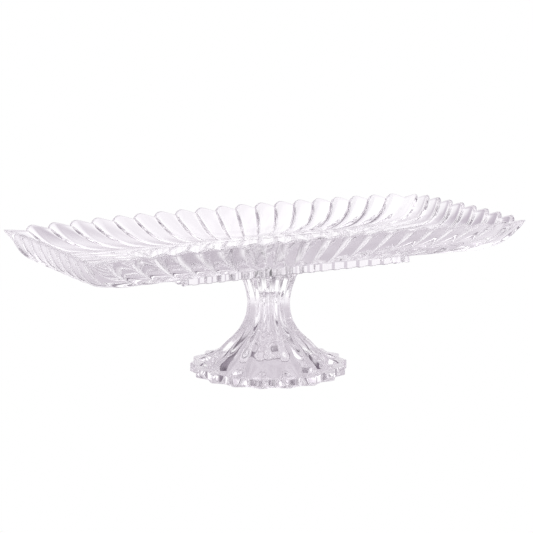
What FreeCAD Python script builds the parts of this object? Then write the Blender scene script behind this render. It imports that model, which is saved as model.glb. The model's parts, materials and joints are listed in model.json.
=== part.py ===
"""Oblong pressed-glass cake stand: a lobed tray, a fluted pedestal and the film of glue between them.

Frame: millimetres, +Z up, +X along the tray, origin on the table under the middle of the foot.
"""
import FreeCAD, Part
import math
import os
import Sketcher

Vector = FreeCAD.Vector
UP = Vector(0, 0, 1)

SIZES = {
    # tray seen from above: half sizes at the lobe peaks, in the valleys between lobes and at the tips
    "peak_half_length": 186.2,
    "peak_half_width": 80.2,
    "valley_half_length": 181.6,
    "valley_half_width": 75.8,
    "corner_half_length": 186.35,
    "corner_half_width": 76.5,
    "floor_half_length": 100.5,
    "floor_half_width": 50.0,
    "floor_bow_length": 1.0,
    "floor_bow_width": 2.0,
    # tray heights above the table
    "floor_top": 97.0,
    "floor_thickness": 4.5,
    "valley_height": 113.6,
    "long_side_arch": 2.6,
    "short_side_arch": 1.2,
    "lobe_rise": 3.2,
    "corner_rise": 2.0,
    # tray wall
    "long_side_lobes": 20,
    "short_side_lobes": 9,
    "corner_lobe_share": 0.15,
    "back_left_lobe_share": 0.38,
    "back_right_lobe_share": 0.05,
    "inner_lobe_depth": 1.5,
    "outer_lobe_depth": 5.4,
    "lobe_lean": 0.19,
    "lobe_lean_change": 0.15,
    "rim_thickness": 3.8,
    "wall_thickness": 2.9,
    "side_steepness": 2.0,
    "corner_steepness": 4.0,
    "end_steepness": 6.0,
    # notched rim under the tray
    "under_rim_half_length": 99.1,
    "under_rim_half_width": 48.9,
    "under_rim_depth": 7.3,
    "under_rim_thickness": 6.5,
    "under_rim_embed": 1.5,
    "long_side_grooves": 18,
    "short_side_grooves": 9,
    "groove_width": 5.8,
    "groove_floor_width": 4.6,
    "groove_depth": 2.2,
    # foot of the pedestal
    "teeth": 18,
    "tooth_tip_radius": 61.8,
    "tooth_valley_radius": 57.4,
    "tooth_land": 1.4,
    "foot_thickness": 6.9,
    "pedestal_turn": 5.6,
    # hollow that opens under the foot
    "hollow_mouth_radius": 49.0,
    "hollow_bend_radius": 10.0,
    "hollow_top_radius": 9.0,
    "hollow_bend_height": 35.0,
    "hollow_height": 66.0,
    "hollow_bend_fillet": 50.0,
    "hollow_top_fillet": 1.5,
    # glue film
    "film_radius": 26.0,
    "film_thickness": 0.2,
}

# Tongues of the pedestal: height over the foot's top, radius on the crest, depth of the flute beside it.
TONGUES = [
    (-2.0, 57.0, 11.6), (0.0, 57.0, 11.2), (3.1, 50.2, 6.2), (9.4, 39.2, 3.4), (14.6, 34.6, 3.2),
    (21.0, 27.6, 2.8), (27.4, 22.5, 2.5), (36.1, 18.5, 2.4), (46.0, 16.9, 2.2), (55.4, 17.7, 2.0),
    (62.0, 19.4, 1.7), (69.1, 22.2, 1.8), (76.0, 25.4, 2.0),
]
COLUMN_TOP_RADIUS = 29.0   # the same radius and depth where the column meets the tray
COLUMN_TOP_FLUTE = 2.2
WALL_STEPS = (0.0, 0.08, 0.2, 0.35, 0.52, 0.7, 0.86, 1.0)   # places down the tray wall, rim to floor
LONG_SIDE_BEND = Vector(0.3, 0.6, 0)    # where a wall line bends in plan, as shares of its x and y run
SHORT_SIDE_BEND = Vector(0.12, 0.2, 0)
LONG_SIDE_BLEND = 3        # how late, towards a corner, a side's wall becomes as steep as the corner's
SHORT_SIDE_BLEND = 4
LOBE_FADE = 0.9            # how fast a lobe's height over the plain wall fades towards the floor
RIM_FADE = 6               # how fast the peak that a lobe has at the rim gives way to a plain swelling
RIM_LEVEL_FADE = 5         # how fast the rim's level thickness gives way to thickness across the wall
SEW_TOLERANCE = 0.001
NOTCH_OVERSHOOT = 2.0      # the same for the notches between teeth, as a multiple of their depth


def make_sheet(doc):
    sheet = doc.addObject("Spreadsheet::Sheet", "sizes")
    for row, (name, value) in enumerate(SIZES.items(), start=1):
        sheet.set(f"A{row}", name)
        sheet.set(f"B{row}", str(value))
        sheet.setAlias(f"B{row}", name)
    doc.recompute()
    return sheet


# ---- curved faces -----------------------------------------------------------------------------

def patch(left, middle, right, places):
    """A face through three lines of points: it follows left and right, and bulges towards middle."""
    lines = []
    for points in (left, middle, right):
        line = Part.BSplineCurve()
        line.interpolate(Points=points, Parameters=places)
        lines.append(line)
    rows = [list(row) for row in zip(*(line.getPoles() for line in lines))]
    surface = Part.BSplineSurface()
    surface.buildFromPolesMultsKnots(
        rows, lines[0].getMultiplicities(), [3, 3], lines[0].getKnots(), [0, 1],
        False, False, lines[0].Degree, 2,
    )
    return surface.toShape()


def strip(upper, lower):
    """A face between two arcs, each given by its three poles."""
    surface = Part.BSplineSurface()
    surface.buildFromPolesMultsKnots([upper, lower], [2, 2], [3, 3], [0, 1], [0, 1], False, False, 1, 2)
    return surface.toShape()


def flat_face(arcs):
    """A flat face inside a ring of arcs, each given by its three poles."""
    edges = []
    for poles in arcs:
        curve = Part.BezierCurve()
        curve.setPoles(poles)
        edges.append(curve.toShape())
    return Part.Face(Part.Wire(edges))


def solid_from(faces):
    shell = Part.Shell(faces)
    shell.sewShape(SEW_TOLERANCE)
    solid = Part.Solid(shell)
    if solid.Volume < 0:
        solid.reverse()
    return solid


def bulged(left, crest, right):
    """The middle pole of an arc from left to right that passes through crest."""
    return crest * 2 - (left + right) * 0.5


# ---- tray --------------------------------------------------------------------------------------

class WallLine:
    """A line down the tray wall, from the rim to the floor, on a side of the tray or on a corner."""

    def __init__(self, side, rim, floor, out, bend, steepness):
        self.side = side            # 0 to 3, or None on a corner
        self.rim = rim
        self.floor = floor
        self.out = out              # the level direction that points off the tray
        self.bend = bend
        self.steepness = steepness


def crease(s, side, place):
    """The sharp line between two lobes, at a place from 0 to 1 along a side."""
    corners = [(-1, -1), (1, -1), (1, 1), (-1, 1)]
    (x0, y0), (x1, y1) = corners[side], corners[(side + 1) % 4]
    x, y = x0 + (x1 - x0) * place, y0 + (y1 - y0) * place
    floor = Vector(
        x * (s.floor_half_length + s.floor_bow_length * (1 - y ** 2)),
        y * (s.floor_half_width + s.floor_bow_width * (1 - x ** 2)), s.floor_top,
    )
    from_middle = abs(2 * place - 1)
    if side % 2 == 0:
        height = s.valley_height + s.long_side_arch * (1 - from_middle ** 2)
        rim = Vector(x * s.peak_half_length, y * s.valley_half_width, height)
        out, bend = Vector(0, y0, 0), LONG_SIDE_BEND
        plain_steepness, blend = s.side_steepness, from_middle ** LONG_SIDE_BLEND
    else:
        height = s.valley_height + s.short_side_arch * (1 - from_middle ** 2)
        rim = Vector(x * s.valley_half_length, y * s.peak_half_width, height)
        out, bend = Vector(x0, 0, 0), SHORT_SIDE_BEND
        plain_steepness, blend = s.end_steepness, from_middle ** SHORT_SIDE_BLEND
    steepness = plain_steepness + (s.corner_steepness - plain_steepness) * blend
    return WallLine(side, rim, floor, out, bend, steepness)


def middle_line(a, b):
    """The line half way between two creases."""
    return WallLine(
        a.side if a.side == b.side else None, (a.rim + b.rim) * 0.5, (a.floor + b.floor) * 0.5,
        (a.out + b.out).normalize(), (a.bend + b.bend) * 0.5, (a.steepness + b.steepness) / 2,
    )


def wall_point(line, step):
    """A point of the plain wall, step 0 at the rim and 1 at the floor, and the way out of the glass."""
    rim, floor, back = line.rim, line.floor, 1 - step
    bend = Vector(rim.x + line.bend.x * (floor.x - rim.x), rim.y + line.bend.y * (floor.y - rim.y), 0)
    point = rim * back ** 2 + bend * (2 * step * back) + floor * step ** 2
    point.z = floor.z + (rim.z - floor.z) * back ** line.steepness
    inward = ((rim - bend) * back + (bend - floor) * step).dot(line.out) * 2
    fall = (rim.z - floor.z) * line.steepness * back ** (line.steepness - 1)
    return point, (line.out * fall - UP * inward).normalize()


def rim_peak(s, line):
    """The top of a lobe at the rim: the pointed tip of a corner lobe, or a rounded peak."""
    if line.side is None:
        x = math.copysign(s.corner_half_length, line.rim.x)
        y = math.copysign(s.corner_half_width, line.rim.y)
        return Vector(x, y, line.rim.z + s.corner_rise)
    if line.side % 2 == 0:
        return Vector(line.rim.x, line.out.y * s.peak_half_width, line.rim.z + s.lobe_rise)
    return Vector(line.out.x * s.peak_half_length, line.rim.y, line.rim.z + s.lobe_rise)


def thickening(s, line, normal, step):
    """The way from the wall's inner surface to its outer one."""
    level = (1 - step) ** RIM_LEVEL_FADE
    wall = s.wall_thickness + (s.floor_thickness - s.wall_thickness) * step ** 2
    return (normal * (1 - level) + line.out * level) * (wall + (s.rim_thickness - wall) * level)


def crest_lean(s, middle, pitch):
    """How far a lobe's middle pole leans along a long side, more at one end than at the other."""
    if middle.side not in (0, 2):
        return Vector(0, 0, 0)
    share = s.lobe_lean - s.lobe_lean_change * middle.rim.x / s.peak_half_length
    return Vector(-share * pitch, 0, 0)


def lobe_lines(s, left, right):
    """Points down the left crease, the lobe's crest poles and the right crease, on both surfaces."""
    middle = middle_line(left, right)
    rise = rim_peak(s, middle) - middle.rim
    lean = crest_lean(s, middle, abs(left.rim.x - right.rim.x))
    upper, under = ([], [], []), ([], [], [])
    for step in WALL_STEPS:
        rim_share, fade = (1 - step) ** RIM_FADE, (1 - step) ** LOBE_FADE
        for k, line in enumerate((left, middle, right)):
            inner, normal = wall_point(line, step)
            outer = inner + thickening(s, line, normal, step)
            if line is middle:    # a middle pole lies twice as far out as the crest
                shared = (rise * (2 * rim_share) + lean) * fade
                depth = normal * (2 * (1 - rim_share) * fade)
                inner, outer = inner + shared, outer + shared
                inner += depth * s.inner_lobe_depth
                outer += depth * s.outer_lobe_depth
            upper[k].append(inner)
            under[k].append(outer)
    return upper, under


def end_shares(s, side):
    """How much wider than the others the first and last lobes of a side are, as shares of the pitch."""
    if side == 2:
        return s.back_right_lobe_share, s.back_left_lobe_share
    return s.corner_lobe_share, s.corner_lobe_share


def make_tray_plate(doc, s):
    creases = []
    for side, count in enumerate([int(s.long_side_lobes), int(s.short_side_lobes)] * 2):
        first, last = end_shares(s, side)
        creases += [crease(s, side, (k + 0.5 + first) / (count + first + last)) for k in range(count)]
    faces, floor_ring, under_ring = [], [], []
    for left, right in zip(creases, creases[1:] + creases[:1]):
        upper, under = lobe_lines(s, left, right)
        faces.append(patch(*upper, WALL_STEPS))
        faces.append(patch(*under, WALL_STEPS))
        faces.append(strip([line[0] for line in upper], [line[0] for line in under]))
        floor_ring.append([line[-1] for line in upper])
        under_ring.append([line[-1] for line in under])
    faces += [flat_face(floor_ring), flat_face(under_ring)]
    plate = doc.addObject("Part::Feature", "tray_plate")
    plate.Shape = solid_from(faces)
    return plate


# ---- sketched features -------------------------------------------------------------------------

def datum(body, role):
    return next(item for item in body.Origin.OriginFeatures if item.Role == role)


def add_sketch(body, name, role):
    sketch = body.newObject("Sketcher::SketchObject", name)
    sketch.AttachmentSupport = [(datum(body, role), "")]
    sketch.MapMode = "FlatFace"
    return sketch


def add_outline(sketch, corners):
    """A closed outline of straight edges whose corners are pairs of spreadsheet expressions."""
    first = sketch.GeometryCount
    count = len(corners)
    places = [[float(sketch.evalExpression(text)) for text in corner] for corner in corners]
    for k in range(count):
        ends = Vector(*places[k], 0), Vector(*places[(k + 1) % count], 0)
        sketch.addGeometry(Part.LineSegment(*ends), False)
    for k in range(count):
        sketch.addConstraint(Sketcher.Constraint("Coincident", first + k, 2, first + (k + 1) % count, 1))
        for axis, datum_line, place, text in zip("XY", (-2, -1), places[k], corners[k]):
            if place == 0:
                sketch.addConstraint(Sketcher.Constraint("PointOnObject", first + k, 1, datum_line))
                continue
            rule = Sketcher.Constraint(f"Distance{axis}", -1, 1, first + k, 1, place)
            sketch.setExpression(f"Constraints[{sketch.addConstraint(rule)}]", text)


def add_circle(sketch, radius):
    size = float(sketch.evalExpression(radius))
    ring = sketch.addGeometry(Part.Circle(Vector(0, 0, 0), UP, size), False)
    sketch.addConstraint(Sketcher.Constraint("Coincident", ring, 3, -1, 1))
    number = sketch.addConstraint(Sketcher.Constraint("Radius", ring, size))
    sketch.setExpression(f"Constraints[{number}]", radius)


def add_block(body, kind, name, sketch, length):
    """A Pad of a sketch, or a Pocket that cuts upwards from it."""
    block = body.newObject(f"PartDesign::{kind}", name)
    block.Profile = sketch
    block.setExpression("Length", length)
    block.Reversed = kind == "Pocket"
    return block


def add_pattern(body, kind, name, original, axis, **expressions):
    pattern = body.newObject(f"PartDesign::{kind}", name)
    pattern.Originals = [original]
    link = (datum(body, axis), [""])
    if kind == "PolarPattern":
        pattern.Axis = link
    else:
        pattern.Direction = link
    for size, text in expressions.items():
        pattern.setExpression(size, text)
    body.Tip = pattern
    return pattern


def make_under_rim(doc):
    body = doc.addObject("PartDesign::Body", "under_rim")
    body.setExpression(
        ".Placement.Base.z", "sizes.floor_top - sizes.floor_thickness - sizes.under_rim_depth"
    )
    length, width = "sizes.under_rim_half_length", "sizes.under_rim_half_width"
    wall = "sizes.under_rim_thickness"
    height = "sizes.under_rim_depth + sizes.under_rim_embed"
    signs = [(-1, -1), (1, -1), (1, 1), (-1, 1)]
    outline = add_sketch(body, "under_rim_outline", "XY_Plane")
    add_outline(outline, [(f"{x} * {length}", f"{y} * {width}") for x, y in signs])
    add_outline(outline, [(f"{x} * ({length} - {wall})", f"{y} * ({width} - {wall})") for x, y in signs])
    add_block(body, "Pad", "under_rim_pad", outline, height)

    for axis, along, across, count in (
        ("X", length, width, "sizes.long_side_grooves"), ("Y", width, length, "sizes.short_side_grooves")
    ):
        pitch = f"(2 * {along} / {count})"
        middle = f"({pitch} / 2 - {along})"
        sketch = add_sketch(body, f"groove_outline_{axis}", "XY_Plane")
        for sign in (-1, 1):
            edge = f"{sign} * {across}"
            depth = f"{sign} * ({across} - sizes.groove_depth)"
            corners = [
                (f"{middle} - sizes.groove_width / 2", edge), (f"{middle} + sizes.groove_width / 2", edge),
                (f"{middle} + sizes.groove_floor_width / 2", depth),
                (f"{middle} - sizes.groove_floor_width / 2", depth),
            ]
            add_outline(sketch, corners if axis == "X" else [(y, x) for x, y in corners])
        pocket = add_block(body, "Pocket", f"groove_{axis}", sketch, height)
        doc.recompute()
        add_pattern(
            body, "LinearPattern", f"grooves_{axis}", pocket, f"{axis}_Axis",
            Length=f"{pitch} * ({count} - 1)", Occurrences=count,
        )
        doc.recompute()
    return body


def make_tray(doc, sheet):
    tray = doc.addObject("Part::Fuse", "tray")
    tray.Base = make_tray_plate(doc, sheet)
    tray.Tool = make_under_rim(doc)
    return tray


# ---- pedestal ----------------------------------------------------------------------------------

def column_row(radius, flute, height, angle, step):
    """Poles of one tongue's arc at a height: groove, crest, groove, with the crest at the angle."""
    groove, side = radius - flute, step / 2
    left, crest, right = (
        Vector(r * math.cos(a), r * math.sin(a), height)
        for r, a in ((groove, angle - side), (radius, angle), (groove, angle + side))
    )
    return left, bulged(left, crest, right), right


def make_column(doc, s):
    top = s.floor_top - s.floor_thickness - s.film_thickness
    profile = [(s.foot_thickness + rise, radius, flute) for rise, radius, flute in TONGUES]
    profile.append((top, COLUMN_TOP_RADIUS, COLUMN_TOP_FLUTE))
    lengths = [0.0]
    for (z0, r0, _), (z1, r1, _) in zip(profile, profile[1:]):
        lengths.append(lengths[-1] + math.hypot(z1 - z0, r1 - r0))
    places = [length / lengths[-1] for length in lengths]
    step = 2 * math.pi / int(s.teeth)
    faces, bottom_ring, top_ring = [], [], []
    for k in range(int(s.teeth)):
        rows = [column_row(radius, flute, z, k * step, step) for z, radius, flute in profile]
        faces.append(patch(*(list(line) for line in zip(*rows)), places))
        bottom_ring.append(list(rows[0]))
        top_ring.append(list(rows[-1]))
    faces += [flat_face(bottom_ring), flat_face(top_ring)]
    column = doc.addObject("Part::Feature", "column")
    column.Shape = solid_from(faces)
    return column


def make_foot_plate(doc):
    body = doc.addObject("PartDesign::Body", "foot_plate")
    disc = add_sketch(body, "foot_outline", "XY_Plane")
    add_circle(disc, "sizes.tooth_tip_radius")
    add_block(body, "Pad", "foot_disc", disc, "sizes.foot_thickness")
    valley, tip = "sizes.tooth_valley_radius", "sizes.tooth_tip_radius"
    half_angle = "180 deg / sizes.teeth"
    notch = add_sketch(body, "notch_outline", "XY_Plane")
    out = f"{valley} + {NOTCH_OVERSHOOT} * ({tip} * cos({half_angle}) - {valley})"
    across = f"{NOTCH_OVERSHOOT} * ({tip} * sin({half_angle}) - sizes.tooth_land / 2)"
    add_outline(notch, [(valley, "0"), (out, f"-1 * {across}"), (out, across)])
    pocket = add_block(body, "Pocket", "notch", notch, "sizes.foot_thickness")
    doc.recompute()
    add_pattern(body, "PolarPattern", "notches", pocket, "Z_Axis", Occurrences="sizes.teeth")
    doc.recompute()
    return body


def ring_edge(feature, height):
    """The name of the circular edge at a height above the body's base."""
    for number, edge in enumerate(feature.Shape.Edges, start=1):
        if isinstance(edge.Curve, Part.Circle) and abs(edge.Curve.Center.z - height) < SEW_TOLERANCE:
            return f"Edge{number}"
    raise ValueError(f"no circular edge at height {height}")


def make_hollow(doc, sheet):
    body = doc.addObject("PartDesign::Body", "hollow")
    outline = add_sketch(body, "hollow_outline", "XZ_Plane")
    add_outline(outline, [
        ("0", "0"), ("sizes.hollow_mouth_radius", "0"),
        ("sizes.hollow_bend_radius", "sizes.hollow_bend_height"),
        ("sizes.hollow_top_radius", "sizes.hollow_height"), ("0", "sizes.hollow_height"),
    ])
    turned = body.newObject("PartDesign::Revolution", "hollow_turned")
    turned.Profile = outline
    turned.ReferenceAxis = (datum(body, "Z_Axis"), [""])
    turned.Angle = 360
    doc.recompute()
    last = turned
    for name in ("bend", "top"):
        height = sheet.hollow_bend_height if name == "bend" else sheet.hollow_height
        fillet = body.newObject("PartDesign::Fillet", f"hollow_{name}_round")
        fillet.Base = (last, [ring_edge(last, height)])
        fillet.setExpression("Radius", f"sizes.hollow_{name}_fillet")
        doc.recompute()
        last = fillet
    return body


def make_pedestal(doc, sheet):
    blank = doc.addObject("Part::Fuse", "pedestal_blank")
    blank.Base = make_column(doc, sheet)
    blank.Tool = make_foot_plate(doc)
    pedestal = doc.addObject("Part::Cut", "pedestal")
    pedestal.Base = blank
    pedestal.Tool = make_hollow(doc, sheet)
    pedestal.setExpression(".Placement.Rotation.Angle", "sizes.pedestal_turn")
    return pedestal


def make_bond_film(doc):
    film = doc.addObject("Part::Cylinder", "bond_film")
    film.setExpression("Radius", "sizes.film_radius")
    film.setExpression("Height", "sizes.film_thickness")
    film.setExpression(
        ".Placement.Base.z", "sizes.floor_top - sizes.floor_thickness - sizes.film_thickness"
    )
    return film


def check(doc, parts):
    for item in doc.Objects:
        if "Invalid" in item.State or "Error" in item.State:
            raise RuntimeError(f"{item.Name} failed: {item.State}")
    for part in parts:
        if part.Shape.isNull() or not part.Shape.isValid() or len(part.Shape.Solids) != 1:
            raise RuntimeError(f"{part.Label} is not one valid solid")


def main():
    doc = FreeCAD.newDocument("cake_stand")
    sheet = make_sheet(doc)
    parts = [make_tray(doc, sheet), make_pedestal(doc, sheet), make_bond_film(doc)]
    doc.recompute()
    check(doc, parts)
    os.makedirs("parts", exist_ok=True)
    for part in parts:
        part.Shape.exportStep(f"parts/{part.Label}.step")
        box = part.Shape.optimalBoundingBox(False)
        print(f"{part.Label}: {part.Shape.Volume / 1000:.1f} cm3, x {box.XMin:.2f}..{box.XMax:.2f},"
              f" y {box.YMin:.2f}..{box.YMax:.2f}, z {box.ZMin:.2f}..{box.ZMax:.2f}")


main()
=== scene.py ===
"""Looks of the oblong pressed-glass cake stand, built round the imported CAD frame. Metres, +Z up."""
import json
import math

import bmesh
import bpy
import numpy as np
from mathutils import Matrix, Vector


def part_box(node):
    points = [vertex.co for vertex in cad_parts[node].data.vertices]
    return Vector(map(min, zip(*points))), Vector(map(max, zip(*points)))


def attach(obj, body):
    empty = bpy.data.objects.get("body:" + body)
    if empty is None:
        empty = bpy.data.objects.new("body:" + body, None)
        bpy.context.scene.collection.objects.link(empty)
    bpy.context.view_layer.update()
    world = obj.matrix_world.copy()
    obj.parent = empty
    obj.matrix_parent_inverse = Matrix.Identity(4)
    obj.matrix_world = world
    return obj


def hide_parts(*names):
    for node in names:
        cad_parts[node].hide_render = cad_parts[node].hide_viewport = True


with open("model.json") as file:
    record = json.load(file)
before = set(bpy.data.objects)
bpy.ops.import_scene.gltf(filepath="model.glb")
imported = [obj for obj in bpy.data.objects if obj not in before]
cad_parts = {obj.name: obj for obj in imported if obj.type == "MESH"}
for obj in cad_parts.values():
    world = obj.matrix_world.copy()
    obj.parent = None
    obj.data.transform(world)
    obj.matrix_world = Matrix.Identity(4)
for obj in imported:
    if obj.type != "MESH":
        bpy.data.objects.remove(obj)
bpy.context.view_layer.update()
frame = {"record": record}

MM = 0.001

# ---- sizes: the frame gives the boxes, and these shape what lies inside them -------------------

TRAY_LOW, TRAY_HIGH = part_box("tray")
PEDESTAL_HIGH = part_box("pedestal")[1]
FILM_LOW, FILM_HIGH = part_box("bond_film")
MOUNTS = {mount["name"]: mount for mount in frame["record"]["mounts"]}

FLOOR_TOP = MOUNTS["cake_floor"]["pos_m"][2]
FLOOR_UNDER = FILM_HIGH.z
FLOOR_THICKNESS = FLOOR_TOP - FLOOR_UNDER
RIM_THICKNESS = 3.8 * MM    # measured level across the rim
WALL_THICKNESS = 2.9 * MM   # measured square to the wall, below the rim
# the rim's half sizes along x and y, inside the glass: on the lobes, at the creases, at the corners
PEAK_HALF = np.array([TRAY_HIGH.x, TRAY_HIGH.y]) - RIM_THICKNESS
VALLEY_HALF = PEAK_HALF - np.array([4.6, 4.4]) * MM
CORNER_HALF = PEAK_HALF + np.array([0.4, -3.7]) * MM
FLOOR_HALF = np.array([100.5, 50.0]) * MM
FLOOR_BOW = np.array([1.0, 2.0]) * MM       # how far the floor's sides bow out
VALLEY_HEIGHT = FLOOR_TOP + 16.6 * MM       # the rim at a crease, at the ends of a side
LONG_SIDE_ARCH, SHORT_SIDE_ARCH = 2.6 * MM, 1.2 * MM    # how much higher it is at mid side
LOBE_RISE, CORNER_RISE = 3.17 * MM, 2.0 * MM            # how far a lobe's crest stands above it
LONG_SIDE_LOBES, SHORT_SIDE_LOBES = 20, 9
# at 1 a lobe's crest on a long side is midway between its creases, and below 1 it is nearer to one
# of them: the value at mid length, and its change towards +x
LOBE_LEAN, LOBE_LEAN_CHANGE = 0.78, 0.16
# how much wider the lobes at the two ends of each side are, as a share of the pitch
CORNER_SHARES = [(0.15, 0.15), (0.15, 0.15), (0.05, 0.38), (0.15, 0.15)]
# how far a lobe swells from the plain wall, inside the tray and outside it
INNER_LOBE_DEPTH, OUTER_LOBE_DEPTH = 1.5 * MM, 5.4 * MM
# power of the wall's rise to its rim at mid long side, corner and mid short side, and how late
# along each side it starts to change to the corner's
SIDE_STEEPNESS, CORNER_STEEPNESS, END_STEEPNESS = 2.0, 4.0, 6.0
LONG_SIDE_BLEND, SHORT_SIDE_BLEND = 3, 4
# where a crease bends in plan on its way from the rim to the floor, as shares along x and y
LONG_SIDE_BEND = np.array([0.3, 0.6])
SHORT_SIDE_BEND = np.array([0.12, 0.2])
# powers of the share of the wall that is left: the higher, the sooner a thing fades down the wall
LOBE_FADE = 0.9         # the lobe's swelling
RIM_FADE = 6            # its peak at the rim
RIM_LEVEL_FADE = 5      # the rim's thickness, measured level, gives way to the wall's
RIM_POINT_FADE = 2      # the lobe's pointed form
CORNER_FADE = 8         # and, up from the floor, the floor's square corner
RIM_POINT = 0.6         # how pointed the lobes are at the rim, from 0 for a round arc to 1 for a roof
CREASE_SOFTNESS = 0.10  # how far a crease is rounded, as a share of the lobe's height
CREST_SOFTNESS = 0.12   # how far the crest of a pointed lobe is, as a share of half its width
RIM_ROUND = 0.014       # where the rim's rounding starts, as a share of the way down the wall
RIM_SQUARENESS = 0.75   # under 1 makes the rim's rounding fuller than a half circle
RIM_STEPS = 9

SKIRT_HALF = np.array([99.1, 48.9]) * MM
SKIRT_BLOCKS = (18, 9)      # long and short side, counting the two half blocks at its ends as one
SKIRT_BOTTOM = TRAY_LOW.z
SKIRT_WALL = 6.5 * MM
GROOVE_WIDTH, GROOVE_FLOOR, GROOVE_DEPTH = 5.8 * MM, 4.6 * MM, 2.2 * MM
SKIRT_BEVEL = 0.5 * MM

TEETH = 18
TOOTH_TIP_RADIUS, TOOTH_VALLEY_RADIUS = 61.8 * MM, 57.4 * MM
TOOTH_LAND = 1.4 * MM       # width of a tooth's blunt tip
FOOT_THICKNESS = 6.9 * MM
FOOT_BEVEL = 0.45 * MM
PEDESTAL_TURN = math.radians(5.6)
COLUMN_TOP = PEDESTAL_HIGH.z
# tongues: height over the foot's top, radius on the crest, depth of the flute beside it
TONGUES = np.array([
    (0.0, 57.0, 11.2), (3.1, 50.2, 6.2), (9.4, 39.2, 3.4), (14.6, 34.6, 3.2), (21.0, 27.6, 2.8),
    (27.4, 22.5, 2.5), (36.1, 18.5, 2.4), (46.0, 16.9, 2.2), (55.4, 17.7, 2.0), (62.0, 19.4, 1.7),
    (69.1, 22.2, 1.8), (76.0, 25.4, 2.0),
]) * MM
COLUMN_TOP_RADIUS, COLUMN_TOP_FLUTE = 29.0 * MM, 2.2 * MM
COLUMN_TOP_ROW = (COLUMN_TOP - FOOT_THICKNESS, COLUMN_TOP_RADIUS, COLUMN_TOP_FLUTE)
COLUMN_TOP_BEVEL = 0.3 * MM
COLUMN_STEPS = 72
TONGUE_POINT = 0.6          # how pointed the tongues are, as for the lobes
# the hollow: radius at its mouth, at its bend and near its top
HOLLOW_MOUTH, HOLLOW_BEND, HOLLOW_END = 49.0 * MM, 10.0 * MM, 9.0 * MM
HOLLOW_BEND_HEIGHT, HOLLOW_HEIGHT = 35.0 * MM, 66.0 * MM
# the bend is rounded from this share of the run below it to this share of the run above it
HOLLOW_ROUND_START, HOLLOW_ROUND_END = 0.55, 0.6
HOLLOW_STEPS = 14
HOLLOW_TAPER = 1.5 * MM     # how much narrower the very top is

FILM_OVERLAP = 0.03 * MM    # the cured film wets both pressings
FILM_BULGE = 0.1 * MM       # how far its edge bulges
FILM_STEPS = 96

CAMERA_TARGET = Vector((-1.3, 1.0, 82.8)) * MM
CAMERA_DISTANCE = 1.490
CAMERA_TURN = math.radians(29.03)
CAMERA_PITCH = math.radians(10.89)
CAMERA_LENS, SENSOR_WIDTH = 128.86, 36.0

ACROSS = 16                 # mesh steps across a lobe or a tongue
DOWN = 44                   # mesh steps down the tray wall
DOWN_CROWDING = 1.25        # over 1 crowds them towards the rim
# rings that divide the flat faces, as shares of the way out
FLOOR_RINGS = (0.97, 0.8, 0.5, 0.2)
UNDERSIDE_RINGS = (0.9, 0.6, 0.3)
COLUMN_TOP_RINGS = (0.8, 0.5, 0.2)
SMALL_CAP_RINGS = (0.5,)
FLANGE_RINGS = (0.35, 0.7)


# ---- mesh helpers ------------------------------------------------------------------------------

def across_places():
    """Places across a lobe from 0 up to, not including, 1, closer together beside the creases."""
    return (1 - np.cos(np.pi * np.arange(ACROSS) / ACROSS)) / 2


def soft_arch(u, lean=1.0, point=0.0):
    """1 on the crest of a lobe and 0 at its creases, with the creases slightly rounded."""
    u = u ** lean
    flat = math.sqrt(1 + CREST_SOFTNESS ** 2)
    roof = (flat - np.sqrt((2 * u - 1) ** 2 + CREST_SOFTNESS ** 2)) / (flat - CREST_SOFTNESS)
    arch = 4 * u * (1 - u) * (1 - point) + roof * point
    soft = np.sqrt(arch ** 2 + CREASE_SOFTNESS ** 2) - CREASE_SOFTNESS
    return soft / (math.sqrt(1 + CREASE_SOFTNESS ** 2) - CREASE_SOFTNESS)


class Rings:
    """A mesh made of closed rings of points, one inside or above the next."""

    def __init__(self):
        self.bm = bmesh.new()
        self.last = None
        self.sharp = []

    def ring(self, points, sharp=False):
        """Adds a ring of points and joins it to the one before."""
        verts = [self.bm.verts.new(point) for point in points]
        count = len(verts)
        if self.last is not None:
            for k in range(count):
                after = (k + 1) % count
                self.bm.faces.new((self.last[k], self.last[after], verts[after], verts[k]))
        self.last = verts
        if sharp:
            self.sharp.append(verts)
        return verts

    def cap(self, ring, centre, inner):
        """Closes a ring with ever smaller rings, given as shares of it, and a fan to the centre."""
        centre = np.array(centre)
        outline = [np.array(vert.co) for vert in ring]
        self.last = ring
        for share in inner:
            self.ring([centre + (point - centre) * share for point in outline])
        hub = self.bm.verts.new(centre)
        count = len(self.last)
        for k in range(count):
            self.bm.faces.new((self.last[k], self.last[(k + 1) % count], hub))

    def fill_between(self, outer, inner):
        """Fills a flat area between two rings whose counts differ."""
        edges = []
        for ring in (outer, inner):
            for k, vert in enumerate(ring):
                after = ring[(k + 1) % len(ring)]
                edges.append(self.bm.edges.get((vert, after)) or self.bm.edges.new((vert, after)))
        bmesh.ops.triangle_fill(self.bm, use_beauty=True, use_dissolve=False, edges=edges)

    def mark_sharp(self):
        for ring in self.sharp:
            for k, vert in enumerate(ring):
                edge = self.bm.edges.get((vert, ring[(k + 1) % len(ring)]))
                if edge is not None:
                    edge.smooth = False


def add_piece(name, bm, material, body, replaced):
    bmesh.ops.recalc_face_normals(bm, faces=bm.faces)
    for face in bm.faces:
        face.smooth = True
    open_edges = sum(1 for edge in bm.edges if len(edge.link_faces) != 2)
    mesh = bpy.data.meshes.new(name)
    bm.to_mesh(mesh)
    bm.free()
    print(f"{name}: {len(mesh.polygons)} faces, {open_edges} open edges")
    mesh.materials.append(material)
    piece = bpy.data.objects.new(name, mesh)
    bpy.context.scene.collection.objects.link(piece)
    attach(piece, body)
    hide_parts(replaced)
    return piece


# ---- tray --------------------------------------------------------------------------------------

def floor_point(share):
    """A point of the floor's outline from its share of the half sizes, with the long sides bowed."""
    return share * FLOOR_HALF + FLOOR_BOW * (1 - share[::-1] ** 2) * share


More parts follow.
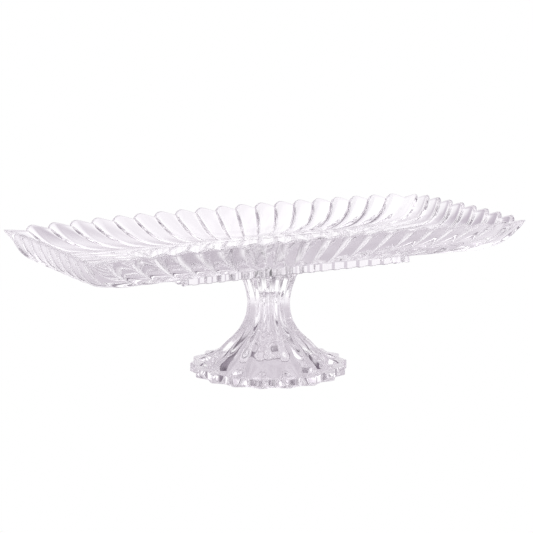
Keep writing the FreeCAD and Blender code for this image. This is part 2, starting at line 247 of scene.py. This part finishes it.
def crease(side, place):
    """A line between two lobes: its rim point, floor point, level way out, bend and steepness."""
    corners = [(-1, -1), (1, -1), (1, 1), (-1, 1)]
    start, end = np.array(corners[side]), np.array(corners[(side + 1) % 4])
    at = start + (end - start) * place
    floor = np.array([*floor_point(at), FLOOR_TOP])
    from_middle = abs(2 * place - 1)
    if side % 2 == 0:
        height = VALLEY_HEIGHT + LONG_SIDE_ARCH * (1 - from_middle ** 2)
        rim = np.array([at[0] * PEAK_HALF[0], at[1] * VALLEY_HALF[1], height])
        out, bend = np.array([0.0, start[1], 0.0]), LONG_SIDE_BEND
        plain, blend = SIDE_STEEPNESS, from_middle ** LONG_SIDE_BLEND
    else:
        height = VALLEY_HEIGHT + SHORT_SIDE_ARCH * (1 - from_middle ** 2)
        rim = np.array([at[0] * VALLEY_HALF[0], at[1] * PEAK_HALF[1], height])
        out, bend = np.array([start[0], 0.0, 0.0]), SHORT_SIDE_BEND
        plain, blend = END_STEEPNESS, from_middle ** SHORT_SIDE_BLEND
    steepness = plain + (CORNER_STEEPNESS - plain) * blend
    return {"side": side, "rim": rim, "floor": floor, "out": out, "bend": bend, "steepness": steepness}


def middle_line(a, b):
    line = {key: (a[key] + b[key]) / 2 for key in ("rim", "floor", "out", "bend", "steepness")}
    line["out"] = line["out"] / np.linalg.norm(line["out"])
    line["side"] = a["side"] if a["side"] == b["side"] else None
    return line


def wall_point(line, step):
    """A point of the plain wall, step 0 at the rim and 1 at the floor, and the way out of the glass."""
    rim, floor, back = line["rim"], line["floor"], 1 - step
    bend = rim[:2] + line["bend"] * (floor[:2] - rim[:2])
    plan = rim[:2] * back ** 2 + bend * (2 * step * back) + floor[:2] * step ** 2
    drop = rim[2] - floor[2]
    point = np.array([*plan, floor[2] + drop * back ** line["steepness"]])
    inward = ((rim[:2] - bend) * back + (bend - floor[:2]) * step) @ line["out"][:2] * 2
    fall = drop * line["steepness"] * back ** (line["steepness"] - 1)
    normal = line["out"] * fall - np.array([0, 0, inward])
    return point, normal / np.linalg.norm(normal)


def rim_peak(line):
    if line["side"] is None:
        return np.array([*(np.sign(line["rim"][:2]) * CORNER_HALF), line["rim"][2] + CORNER_RISE])
    peak = line["rim"] + np.array([0, 0, LOBE_RISE])
    axis = 1 if line["side"] % 2 == 0 else 0
    peak[axis] = line["out"][axis] * PEAK_HALF[axis]
    return peak


def lobe_row(left, right, step):
    """Points across one lobe at a step down the wall, on the inside and on the outside."""
    middle = middle_line(left, right)
    rise = rim_peak(middle) - middle["rim"]
    u = across_places()[:, None]
    (a, na), (m, nm), (b, nb) = (wall_point(line, step) for line in (left, middle, right))
    rim_share = (1 - step) ** RIM_FADE
    lean = 1.0
    if middle["side"] in (0, 2):
        lean = LOBE_LEAN + LOBE_LEAN_CHANGE * middle["rim"][0] / PEAK_HALF[0]
    if middle["out"][1] > 0:
        u = 1 - u
        a, na, left, b, nb, right = b, nb, right, a, na, left
    rows = []
    level = (1 - step) ** RIM_LEVEL_FADE
    wall = WALL_THICKNESS + (FLOOR_THICKNESS - WALL_THICKNESS) * step ** 2
    thickness = wall + (RIM_THICKNESS - wall) * level
    point_share = RIM_POINT * (1 - step) ** RIM_POINT_FADE
    for shift, depth in ((0.0, INNER_LOBE_DEPTH), (thickness, OUTER_LOBE_DEPTH)):
        pa, pm, pb = (
            point + (normal * (1 - level) + line["out"] * level) * shift
            for point, normal, line in ((a, na, left), (m, nm, middle), (b, nb, right))
        )
        plain = pa * (1 - u) ** 2 + pm * (2 * u * (1 - u)) + pb * u ** 2
        swelling = (rise * rim_share + nm * (depth * (1 - rim_share))) * (1 - step) ** LOBE_FADE
        rows.append(plain + swelling * soft_arch(u, lean, point_share))
    if middle["side"] is None:
        corner = np.array([*(np.sign(middle["floor"][:2]) * FLOOR_HALF), 0.0])
        reach = (corner - middle["floor"]) * np.array([1, 1, 0])
        for row in rows:
            row += reach * (1 - np.abs(2 * u - 1)) * step ** CORNER_FADE
    return rows


def tray_rows():
    """The wall's inside and outside rings from the rounding of the rim down, and those of the rim."""
    creases = []
    for side, count in enumerate([LONG_SIDE_LOBES, SHORT_SIDE_LOBES] * 2):
        share, far_share = CORNER_SHARES[side]
        creases += [crease(side, (k + 0.5 + share) / (count + share + far_share)) for k in range(count)]
    pairs = list(zip(creases, creases[1:] + creases[:1]))

    def rows_at(step):
        inside, outside = zip(*(lobe_row(left, right, step) for left, right in pairs))
        return np.concatenate(inside), np.concatenate(outside)

    steps = RIM_ROUND + (1 - RIM_ROUND) * (np.arange(DOWN + 1) / DOWN) ** DOWN_CROWDING
    return [rows_at(step) for step in steps], rows_at(0.0)


def skirt_outline(inset):
    """The notched outline of the rim under the tray, moved inwards by inset."""
    points = []
    corners = [(-1, -1), (1, -1), (1, 1), (-1, 1)]
    for side, count in enumerate(SKIRT_BLOCKS * 2):
        start, end = np.array(corners[side], float), np.array(corners[(side + 1) % 4], float)
        along = (end - start) / 2
        inward = np.array([-along[1], along[0]])
        pitch = 2 * SKIRT_HALF @ np.abs(along) / count
        points.append(start * (SKIRT_HALF - inset))
        for k in range(count):
            at = start * SKIRT_HALF + along * ((k + 0.5) * pitch)
            wide, narrow = GROOVE_WIDTH / 2 + inset, GROOVE_FLOOR / 2 + inset
            groove = [
                (-wide, 0), (-narrow, GROOVE_DEPTH), (0, GROOVE_DEPTH), (narrow, GROOVE_DEPTH), (wide, 0),
            ]
            for shift, depth in groove:
                points.append(at + along * shift + inward * (depth + inset))
    return np.array(points)


def at_height(plan, height):
    return [np.array([x, y, height]) for x, y in plan]


def skirt_inside(inset, steps=24):
    """The plain inner outline of the rim under the tray."""
    points = []
    corners = [(-1, -1), (1, -1), (1, 1), (-1, 1)]
    half = SKIRT_HALF - inset
    for side in range(4):
        start, end = np.array(corners[side], float), np.array(corners[(side + 1) % 4], float)
        for place in np.arange(steps) / steps:
            points.append((start + (end - start) * place) * half)
    return np.array(points)


def make_tray(material):
    rows, rim = tray_rows()
    mesh = Rings()
    floor_ring = mesh.ring(rows[-1][0], sharp=True)
    for inside, _ in reversed(rows[:-1]):
        mesh.ring(inside)
    inside, outside = rows[0]
    middle, half = (inside + outside) / 2, (inside - outside) / 2
    reach = (rim[0] + rim[1]) / 2 - middle
    for angle in np.linspace(0, math.pi, RIM_STEPS)[1:-1]:
        c, s = math.cos(angle), math.sin(angle)
        across = math.copysign(abs(c) ** RIM_SQUARENESS, c)
        mesh.ring(middle + half * across + reach * s ** RIM_SQUARENESS)
    for _, outside in rows:
        under_ring = mesh.ring(outside)
    mesh.sharp.append(under_ring)
    mesh.cap(floor_ring, (0, 0, FLOOR_TOP), FLOOR_RINGS)

    mesh.last = None
    top = mesh.ring(at_height(skirt_outline(0), FLOOR_UNDER), sharp=True)
    mesh.ring(at_height(skirt_outline(0), SKIRT_BOTTOM + SKIRT_BEVEL), sharp=True)
    bottom = mesh.ring(at_height(skirt_outline(SKIRT_BEVEL), SKIRT_BOTTOM), sharp=True)
    mesh.last = None
    inner_bottom = mesh.ring(at_height(skirt_inside(SKIRT_WALL), SKIRT_BOTTOM), sharp=True)
    inner_top = mesh.ring(at_height(skirt_inside(SKIRT_WALL + SKIRT_BEVEL), FLOOR_UNDER), sharp=True)
    mesh.fill_between(under_ring, top)
    mesh.fill_between(bottom, inner_bottom)
    mesh.cap(inner_top, (0, 0, FLOOR_UNDER), UNDERSIDE_RINGS)
    mesh.mark_sharp()
    return add_piece("tray_glass", mesh.bm, material, "root", "tray")


# ---- pedestal ----------------------------------------------------------------------------------

def spline_rows(rows, count):
    """Rows of numbers along a smooth curve through the given rows, evenly spaced along it."""
    rows = np.array(rows)
    lengths = np.concatenate([[0], np.cumsum(np.hypot(np.diff(rows[:, 0]), np.diff(rows[:, 1])))])
    slopes = np.gradient(rows, lengths, axis=0)
    out = []
    for at in np.linspace(0, lengths[-1], count):
        k = min(np.searchsorted(lengths, at, side="right") - 1, len(rows) - 2)
        span = lengths[k + 1] - lengths[k]
        t = (at - lengths[k]) / span
        out.append(
            rows[k] * (1 + 2 * t) * (1 - t) ** 2 + slopes[k] * span * t * (1 - t) ** 2
            + rows[k + 1] * t ** 2 * (3 - 2 * t) + slopes[k + 1] * span * t ** 2 * (t - 1)
        )
    return out


def tongue_ring(radius, flute, height):
    """A ring of fluted column: crests at multiples of the tooth angle, rounded grooves between."""
    step = 2 * math.pi / TEETH
    u = across_places()
    groove = radius - flute
    points = []
    for k in range(TEETH):
        middle = PEDESTAL_TURN + k * step
        left, right = (
            groove * np.array([math.cos(middle + sign * step / 2), math.sin(middle + sign * step / 2)])
            for sign in (-1, 1)
        )
        crest = radius * np.array([math.cos(middle), math.sin(middle)])
        swelling = crest - (left + right) / 2
        plan = left + (right - left) * u[:, None] + swelling * soft_arch(u, point=TONGUE_POINT)[:, None]
        points += at_height(plan, height)
    return np.array(points)


def tooth_radius(angle):
    """Radius of the toothed outline, whose valleys lie under the tongues' crests."""
    step = 2 * math.pi / TEETH
    off = np.abs((angle - PEDESTAL_TURN + step / 2) % step - step / 2)
    tip_angle = step / 2 - TOOTH_LAND / 2 / TOOTH_TIP_RADIUS
    tip = TOOTH_TIP_RADIUS * np.array([math.cos(tip_angle), math.sin(tip_angle)])
    valley = np.array([TOOTH_VALLEY_RADIUS, 0.0])
    edge = tip - valley
    radius = (valley[0] * edge[1]) / (np.cos(off) * edge[1] - np.sin(off) * edge[0])
    return np.where(off < tip_angle, radius, TOOTH_TIP_RADIUS)


def polar_ring(angles, radii, height):
    heights = np.full(len(angles), height)
    return np.stack([np.cos(angles) * radii, np.sin(angles) * radii, heights], axis=1)


def hollow_profile():
    """Radius and height up the hollow's side, from the foot of its rounded bend to the end of it."""
    low = np.array([HOLLOW_MOUTH, 0.0])
    bend = np.array([HOLLOW_BEND, HOLLOW_BEND_HEIGHT])
    high = np.array([HOLLOW_END, HOLLOW_HEIGHT])
    start = low + (bend - low) * HOLLOW_ROUND_START
    end = bend + (high - bend) * HOLLOW_ROUND_END
    return [
        start * (1 - t) ** 2 + bend * (2 * t * (1 - t)) + end * t ** 2
        for t in np.linspace(0, 1, HOLLOW_STEPS)
    ]


def make_pedestal(material):
    mesh = Rings()
    top_radius = COLUMN_TOP_RADIUS - COLUMN_TOP_BEVEL
    top = mesh.ring(tongue_ring(top_radius, COLUMN_TOP_FLUTE, COLUMN_TOP), sharp=True)
    column = spline_rows([*TONGUES, COLUMN_TOP_ROW], COLUMN_STEPS)
    for rise, radius, flute in reversed(column):
        height = min(FOOT_THICKNESS + rise, COLUMN_TOP - COLUMN_TOP_BEVEL)
        foot_edge = mesh.ring(tongue_ring(radius, flute, height))
    mesh.sharp.append(foot_edge)
    edge = np.array([vert.co for vert in foot_edge])
    angles = np.arctan2(edge[:, 1], edge[:, 0])
    inner = np.hypot(edge[:, 0], edge[:, 1])
    outer = tooth_radius(angles)
    flange_top = outer - FOOT_BEVEL
    for share in FLANGE_RINGS:
        mesh.ring(polar_ring(angles, inner + (flange_top - inner) * share, FOOT_THICKNESS))
    mesh.ring(polar_ring(angles, flange_top, FOOT_THICKNESS), sharp=True)
    mesh.ring(polar_ring(angles, outer, FOOT_THICKNESS - FOOT_BEVEL), sharp=True)
    mesh.ring(polar_ring(angles, outer, FOOT_BEVEL), sharp=True)
    mesh.ring(polar_ring(angles, outer - FOOT_BEVEL, 0.0), sharp=True)
    mesh.ring(polar_ring(angles, np.full(len(angles), HOLLOW_MOUTH), 0.0), sharp=True)
    for radius, height in hollow_profile():
        mesh.ring(polar_ring(angles, np.full(len(angles), radius), height))
    roof_radii = np.full(len(angles), HOLLOW_END - HOLLOW_TAPER)
    roof = mesh.ring(polar_ring(angles, roof_radii, HOLLOW_HEIGHT), sharp=True)
    mesh.cap(roof, (0, 0, HOLLOW_HEIGHT), SMALL_CAP_RINGS)
    mesh.cap(top, (0, 0, COLUMN_TOP), COLUMN_TOP_RINGS)
    mesh.mark_sharp()
    return add_piece("pedestal_glass", mesh.bm, material, "root", "pedestal")


def make_film(material):
    mesh = Rings()
    angles = np.arange(FILM_STEPS) * 2 * math.pi / FILM_STEPS
    low, high = FILM_LOW.z - FILM_OVERLAP, FILM_HIGH.z + FILM_OVERLAP
    wide = np.full(FILM_STEPS, FILM_HIGH.x)
    narrow = wide - FILM_BULGE
    first = mesh.ring(polar_ring(angles, narrow, low))
    mesh.ring(polar_ring(angles, wide, (low + high) / 2))
    last = mesh.ring(polar_ring(angles, narrow, high))
    mesh.cap(first, (0, 0, low), SMALL_CAP_RINGS)
    mesh.cap(last, (0, 0, high), SMALL_CAP_RINGS)
    return add_piece("adhesive_film", mesh.bm, material, "root", "bond_film")


# ---- materials ---------------------------------------------------------------------------------

def link(tree, source, target):
    tree.links.new(source, target)


GLASS_IOR = 1.52
RIPPLE = 0.02 * MM          # height of the slow ripple of the pressed surface
RIPPLE_SCALE, RIPPLE_DETAIL = 25.0, 2.0
TRAY_TINT, TRAY_ROUGHNESS = (0.97, 0.963, 0.971), 0.02
PEDESTAL_TINT, PEDESTAL_ROUGHNESS = (0.98, 0.974, 0.98), 0.05
FILM_TINT = (0.99, 0.99, 0.99)


def glass(name, tint, roughness, ripple):
    """Clear glass with a faint tint and a slow ripple, which lets light pass straight in its shadow."""
    material = bpy.data.materials.new(name)
    material.use_nodes = True
    tree = material.node_tree
    tree.nodes.clear()
    output = tree.nodes.new("ShaderNodeOutputMaterial")
    shader = tree.nodes.new("ShaderNodeBsdfPrincipled")
    shader.inputs["Base Color"].default_value = (*tint, 1)
    shader.inputs["Roughness"].default_value = roughness
    shader.inputs["IOR"].default_value = GLASS_IOR
    shader.inputs["Transmission Weight"].default_value = 1.0
    coordinates = tree.nodes.new("ShaderNodeTexCoord")
    bump = tree.nodes.new("ShaderNodeBump")
    bump.inputs["Distance"].default_value = ripple
    bump.inputs["Strength"].default_value = 1.0
    noise = tree.nodes.new("ShaderNodeTexNoise")
    noise.inputs["Scale"].default_value = RIPPLE_SCALE
    noise.inputs["Detail"].default_value = RIPPLE_DETAIL
    link(tree, coordinates.outputs["Object"], noise.inputs["Vector"])
    link(tree, noise.outputs["Fac"], bump.inputs["Height"])
    link(tree, bump.outputs["Normal"], shader.inputs["Normal"])
    clear = tree.nodes.new("ShaderNodeBsdfTransparent")
    path = tree.nodes.new("ShaderNodeLightPath")
    mix = tree.nodes.new("ShaderNodeMixShader")
    link(tree, path.outputs["Is Shadow Ray"], mix.inputs["Fac"])
    link(tree, shader.outputs["BSDF"], mix.inputs[1])
    link(tree, clear.outputs["BSDF"], mix.inputs[2])
    link(tree, mix.outputs["Shader"], output.inputs["Surface"])
    return material


# ---- studio ------------------------------------------------------------------------------------

FLOOR_RADIUS, FLOOR_STEPS = 14.0, 96
FLOOR_GAP = 0.2 * MM        # the table lies this far below the foot, so that the faces don't mix
# the table's glow as the glass sees it, darker lilac grey close to the stand as a painted shadow of the
# stand: distance from the stand in metres, and colour
TABLE_GLOW_AND_PAINTED_SHADOW = [
    (0.0, (0.64, 0.59, 0.65)), (0.15, (0.68, 0.63, 0.69)), (0.34, (0.96, 0.93, 0.97)),
    (1.2, (1.2, 1.2, 1.2)),
]
# how much of the screens' shade lies on the table: distance from the stand in metres, and share
TABLE_SCREENS = [(0.25, (0.0, 0.0, 0.0)), (0.5, (1.0, 1.0, 1.0))]
# the studio round the stand: sine of the height over the horizon, and colour
STUDIO_GLOW = [
    (0.0, (1.1, 1.1, 1.1)), (0.2, (1.1, 1.1, 1.1)), (0.34, (0.24, 0.2, 0.25)),
    (0.6, (0.36, 0.32, 0.37)), (0.75, (1.6, 1.6, 1.6)),
]
# grey screens to the left and right: sine of the angle off the main view's line, and light left
SCREENS = [
    (0.4, (1.0, 1.0, 1.0)), (0.55, (0.64, 0.6, 0.65)), (0.7, (0.52, 0.48, 0.53)),
    (0.85, (0.95, 0.93, 0.96)),
]
MAX_BOUNCES, MAX_CLEAR_BOUNCES = 64, 24


def ramp_node(tree, source, stops, reach=1.0):
    ramp = tree.nodes.new("ShaderNodeValToRGB")
    ramp.color_ramp.interpolation = "EASE"
    elements = ramp.color_ramp.elements
    elements[0].position, elements[1].position = stops[0][0] / reach, stops[-1][0] / reach
    elements[0].color, elements[1].color = (*stops[0][1], 1), (*stops[-1][1], 1)
    for place, colour in stops[1:-1]:
        elements.new(place / reach).color = (*colour, 1)
    link(tree, source, ramp.inputs["Fac"])
    return ramp.outputs["Color"]


def vector_node(tree, operation, source, other=None):
    node = tree.nodes.new("ShaderNodeVectorMath")
    node.operation = operation
    link(tree, source, node.inputs[0])
    if other is not None:
        node.inputs[1].default_value = other
    return node.outputs["Value" if operation in ("LENGTH", "DOT_PRODUCT") else "Vector"]


def math_node(tree, operation, source, other=0.5):
    node = tree.nodes.new("ShaderNodeMath")
    node.operation = operation
    link(tree, source, node.inputs[0])
    node.inputs[1].default_value = other
    return node.outputs["Value"]


def screened(tree, place, colour, share=None):
    """The colour, shaded where the place's level direction falls on the screens, wholly or by a share."""
    level = vector_node(tree, "NORMALIZE", vector_node(tree, "MULTIPLY", place, (1.0, 1.0, 0.0)))
    across = (math.cos(CAMERA_TURN), -math.sin(CAMERA_TURN), 0.0)
    off = math_node(tree, "ABSOLUTE", vector_node(tree, "DOT_PRODUCT", level, across))
    shade = ramp_node(tree, off, SCREENS)
    mix = tree.nodes.new("ShaderNodeMix")
    mix.data_type = "RGBA"
    mix.blend_type = "MULTIPLY"
    mix.inputs["Factor"].default_value = 1.0
    if share is not None:
        link(tree, share, mix.inputs["Factor"])
    link(tree, colour, mix.inputs["A"])
    link(tree, shade, mix.inputs["B"])
    return mix.outputs["Result"]


def make_floor():
    """A glowing table: plain white to the camera, and to the glass a lilac grey close to the stand, a
    painted shadow of the stand on the table.
    """
    bm = bmesh.new()
    bmesh.ops.create_circle(bm, cap_ends=True, segments=FLOOR_STEPS, radius=FLOOR_RADIUS)
    mesh = bpy.data.meshes.new("floor")
    bm.to_mesh(mesh)
    bm.free()
    material = bpy.data.materials.new("white_floor")
    material.use_nodes = True
    tree = material.node_tree
    tree.nodes.clear()
    output = tree.nodes.new("ShaderNodeOutputMaterial")
    place = tree.nodes.new("ShaderNodeTexCoord").outputs["Object"]
    reach = TABLE_GLOW_AND_PAINTED_SHADOW[-1][0]
    distance = math_node(tree, "DIVIDE", vector_node(tree, "LENGTH", place), reach)
    # painted shadow: the table's glow turns darker lilac grey close to the stand
    table_glow_and_painted_shadow = ramp_node(tree, distance, TABLE_GLOW_AND_PAINTED_SHADOW, reach)
    far = ramp_node(tree, distance, TABLE_SCREENS, reach)
    seen_in_glass = tree.nodes.new("ShaderNodeEmission")
    plain = tree.nodes.new("ShaderNodeEmission")
    path = tree.nodes.new("ShaderNodeLightPath")
    mix = tree.nodes.new("ShaderNodeMixShader")
    link(tree, screened(tree, place, table_glow_and_painted_shadow, far), seen_in_glass.inputs["Color"])
    link(tree, path.outputs["Is Camera Ray"], mix.inputs["Fac"])
    link(tree, seen_in_glass.outputs["Emission"], mix.inputs[1])
    link(tree, plain.outputs["Emission"], mix.inputs[2])
    link(tree, mix.outputs["Shader"], output.inputs["Surface"])
    mesh.materials.append(material)
    floor = bpy.data.objects.new("floor", mesh)
    floor.location.z = -FLOOR_GAP
    bpy.context.scene.collection.objects.link(floor)


def make_world():
    world = bpy.data.worlds.new("studio")
    bpy.context.scene.world = world
    world.use_nodes = True
    tree = world.node_tree
    tree.nodes.clear()
    output = tree.nodes.new("ShaderNodeOutputWorld")
    background = tree.nodes.new("ShaderNodeBackground")
    place = tree.nodes.new("ShaderNodeTexCoord").outputs["Generated"]
    height = vector_node(tree, "DOT_PRODUCT", place, (0.0, 0.0, 1.0))
    link(tree, screened(tree, place, ramp_node(tree, height, STUDIO_GLOW)), background.inputs["Color"])
    link(tree, background.outputs["Background"], output.inputs["Surface"])


def make_camera():
    data = bpy.data.cameras.new("camera")
    data.lens = CAMERA_LENS
    data.sensor_width = SENSOR_WIDTH
    camera = bpy.data.objects.new("camera", data)
    back = Vector((
        -math.sin(CAMERA_TURN) * math.cos(CAMERA_PITCH),
        -math.cos(CAMERA_TURN) * math.cos(CAMERA_PITCH),
        math.sin(CAMERA_PITCH),
    ))
    camera.location = CAMERA_TARGET + back * CAMERA_DISTANCE
    camera.rotation_mode = "QUATERNION"
    camera.rotation_quaternion = (-back).to_track_quat("-Z", "Y")
    bpy.context.scene.collection.objects.link(camera)
    bpy.context.scene.camera = camera


def set_render():
    scene = bpy.context.scene
    scene.view_settings.view_transform = "Standard"
    scene.cycles.max_bounces = MAX_BOUNCES
    scene.cycles.transmission_bounces = MAX_BOUNCES
    scene.cycles.glossy_bounces = MAX_BOUNCES
    scene.cycles.transparent_max_bounces = MAX_CLEAR_BOUNCES
    scene.cycles.caustics_refractive = True
    scene.cycles.caustics_reflective = True


make_camera()
make_floor()
make_world()
set_render()
make_tray(glass("pressed_glass_tray", TRAY_TINT, TRAY_ROUGHNESS, RIPPLE))
make_pedestal(glass("pressed_glass_pedestal", PEDESTAL_TINT, PEDESTAL_ROUGHNESS, RIPPLE))
make_film(glass("cured_adhesive", FILM_TINT, 0.0, 0.0))
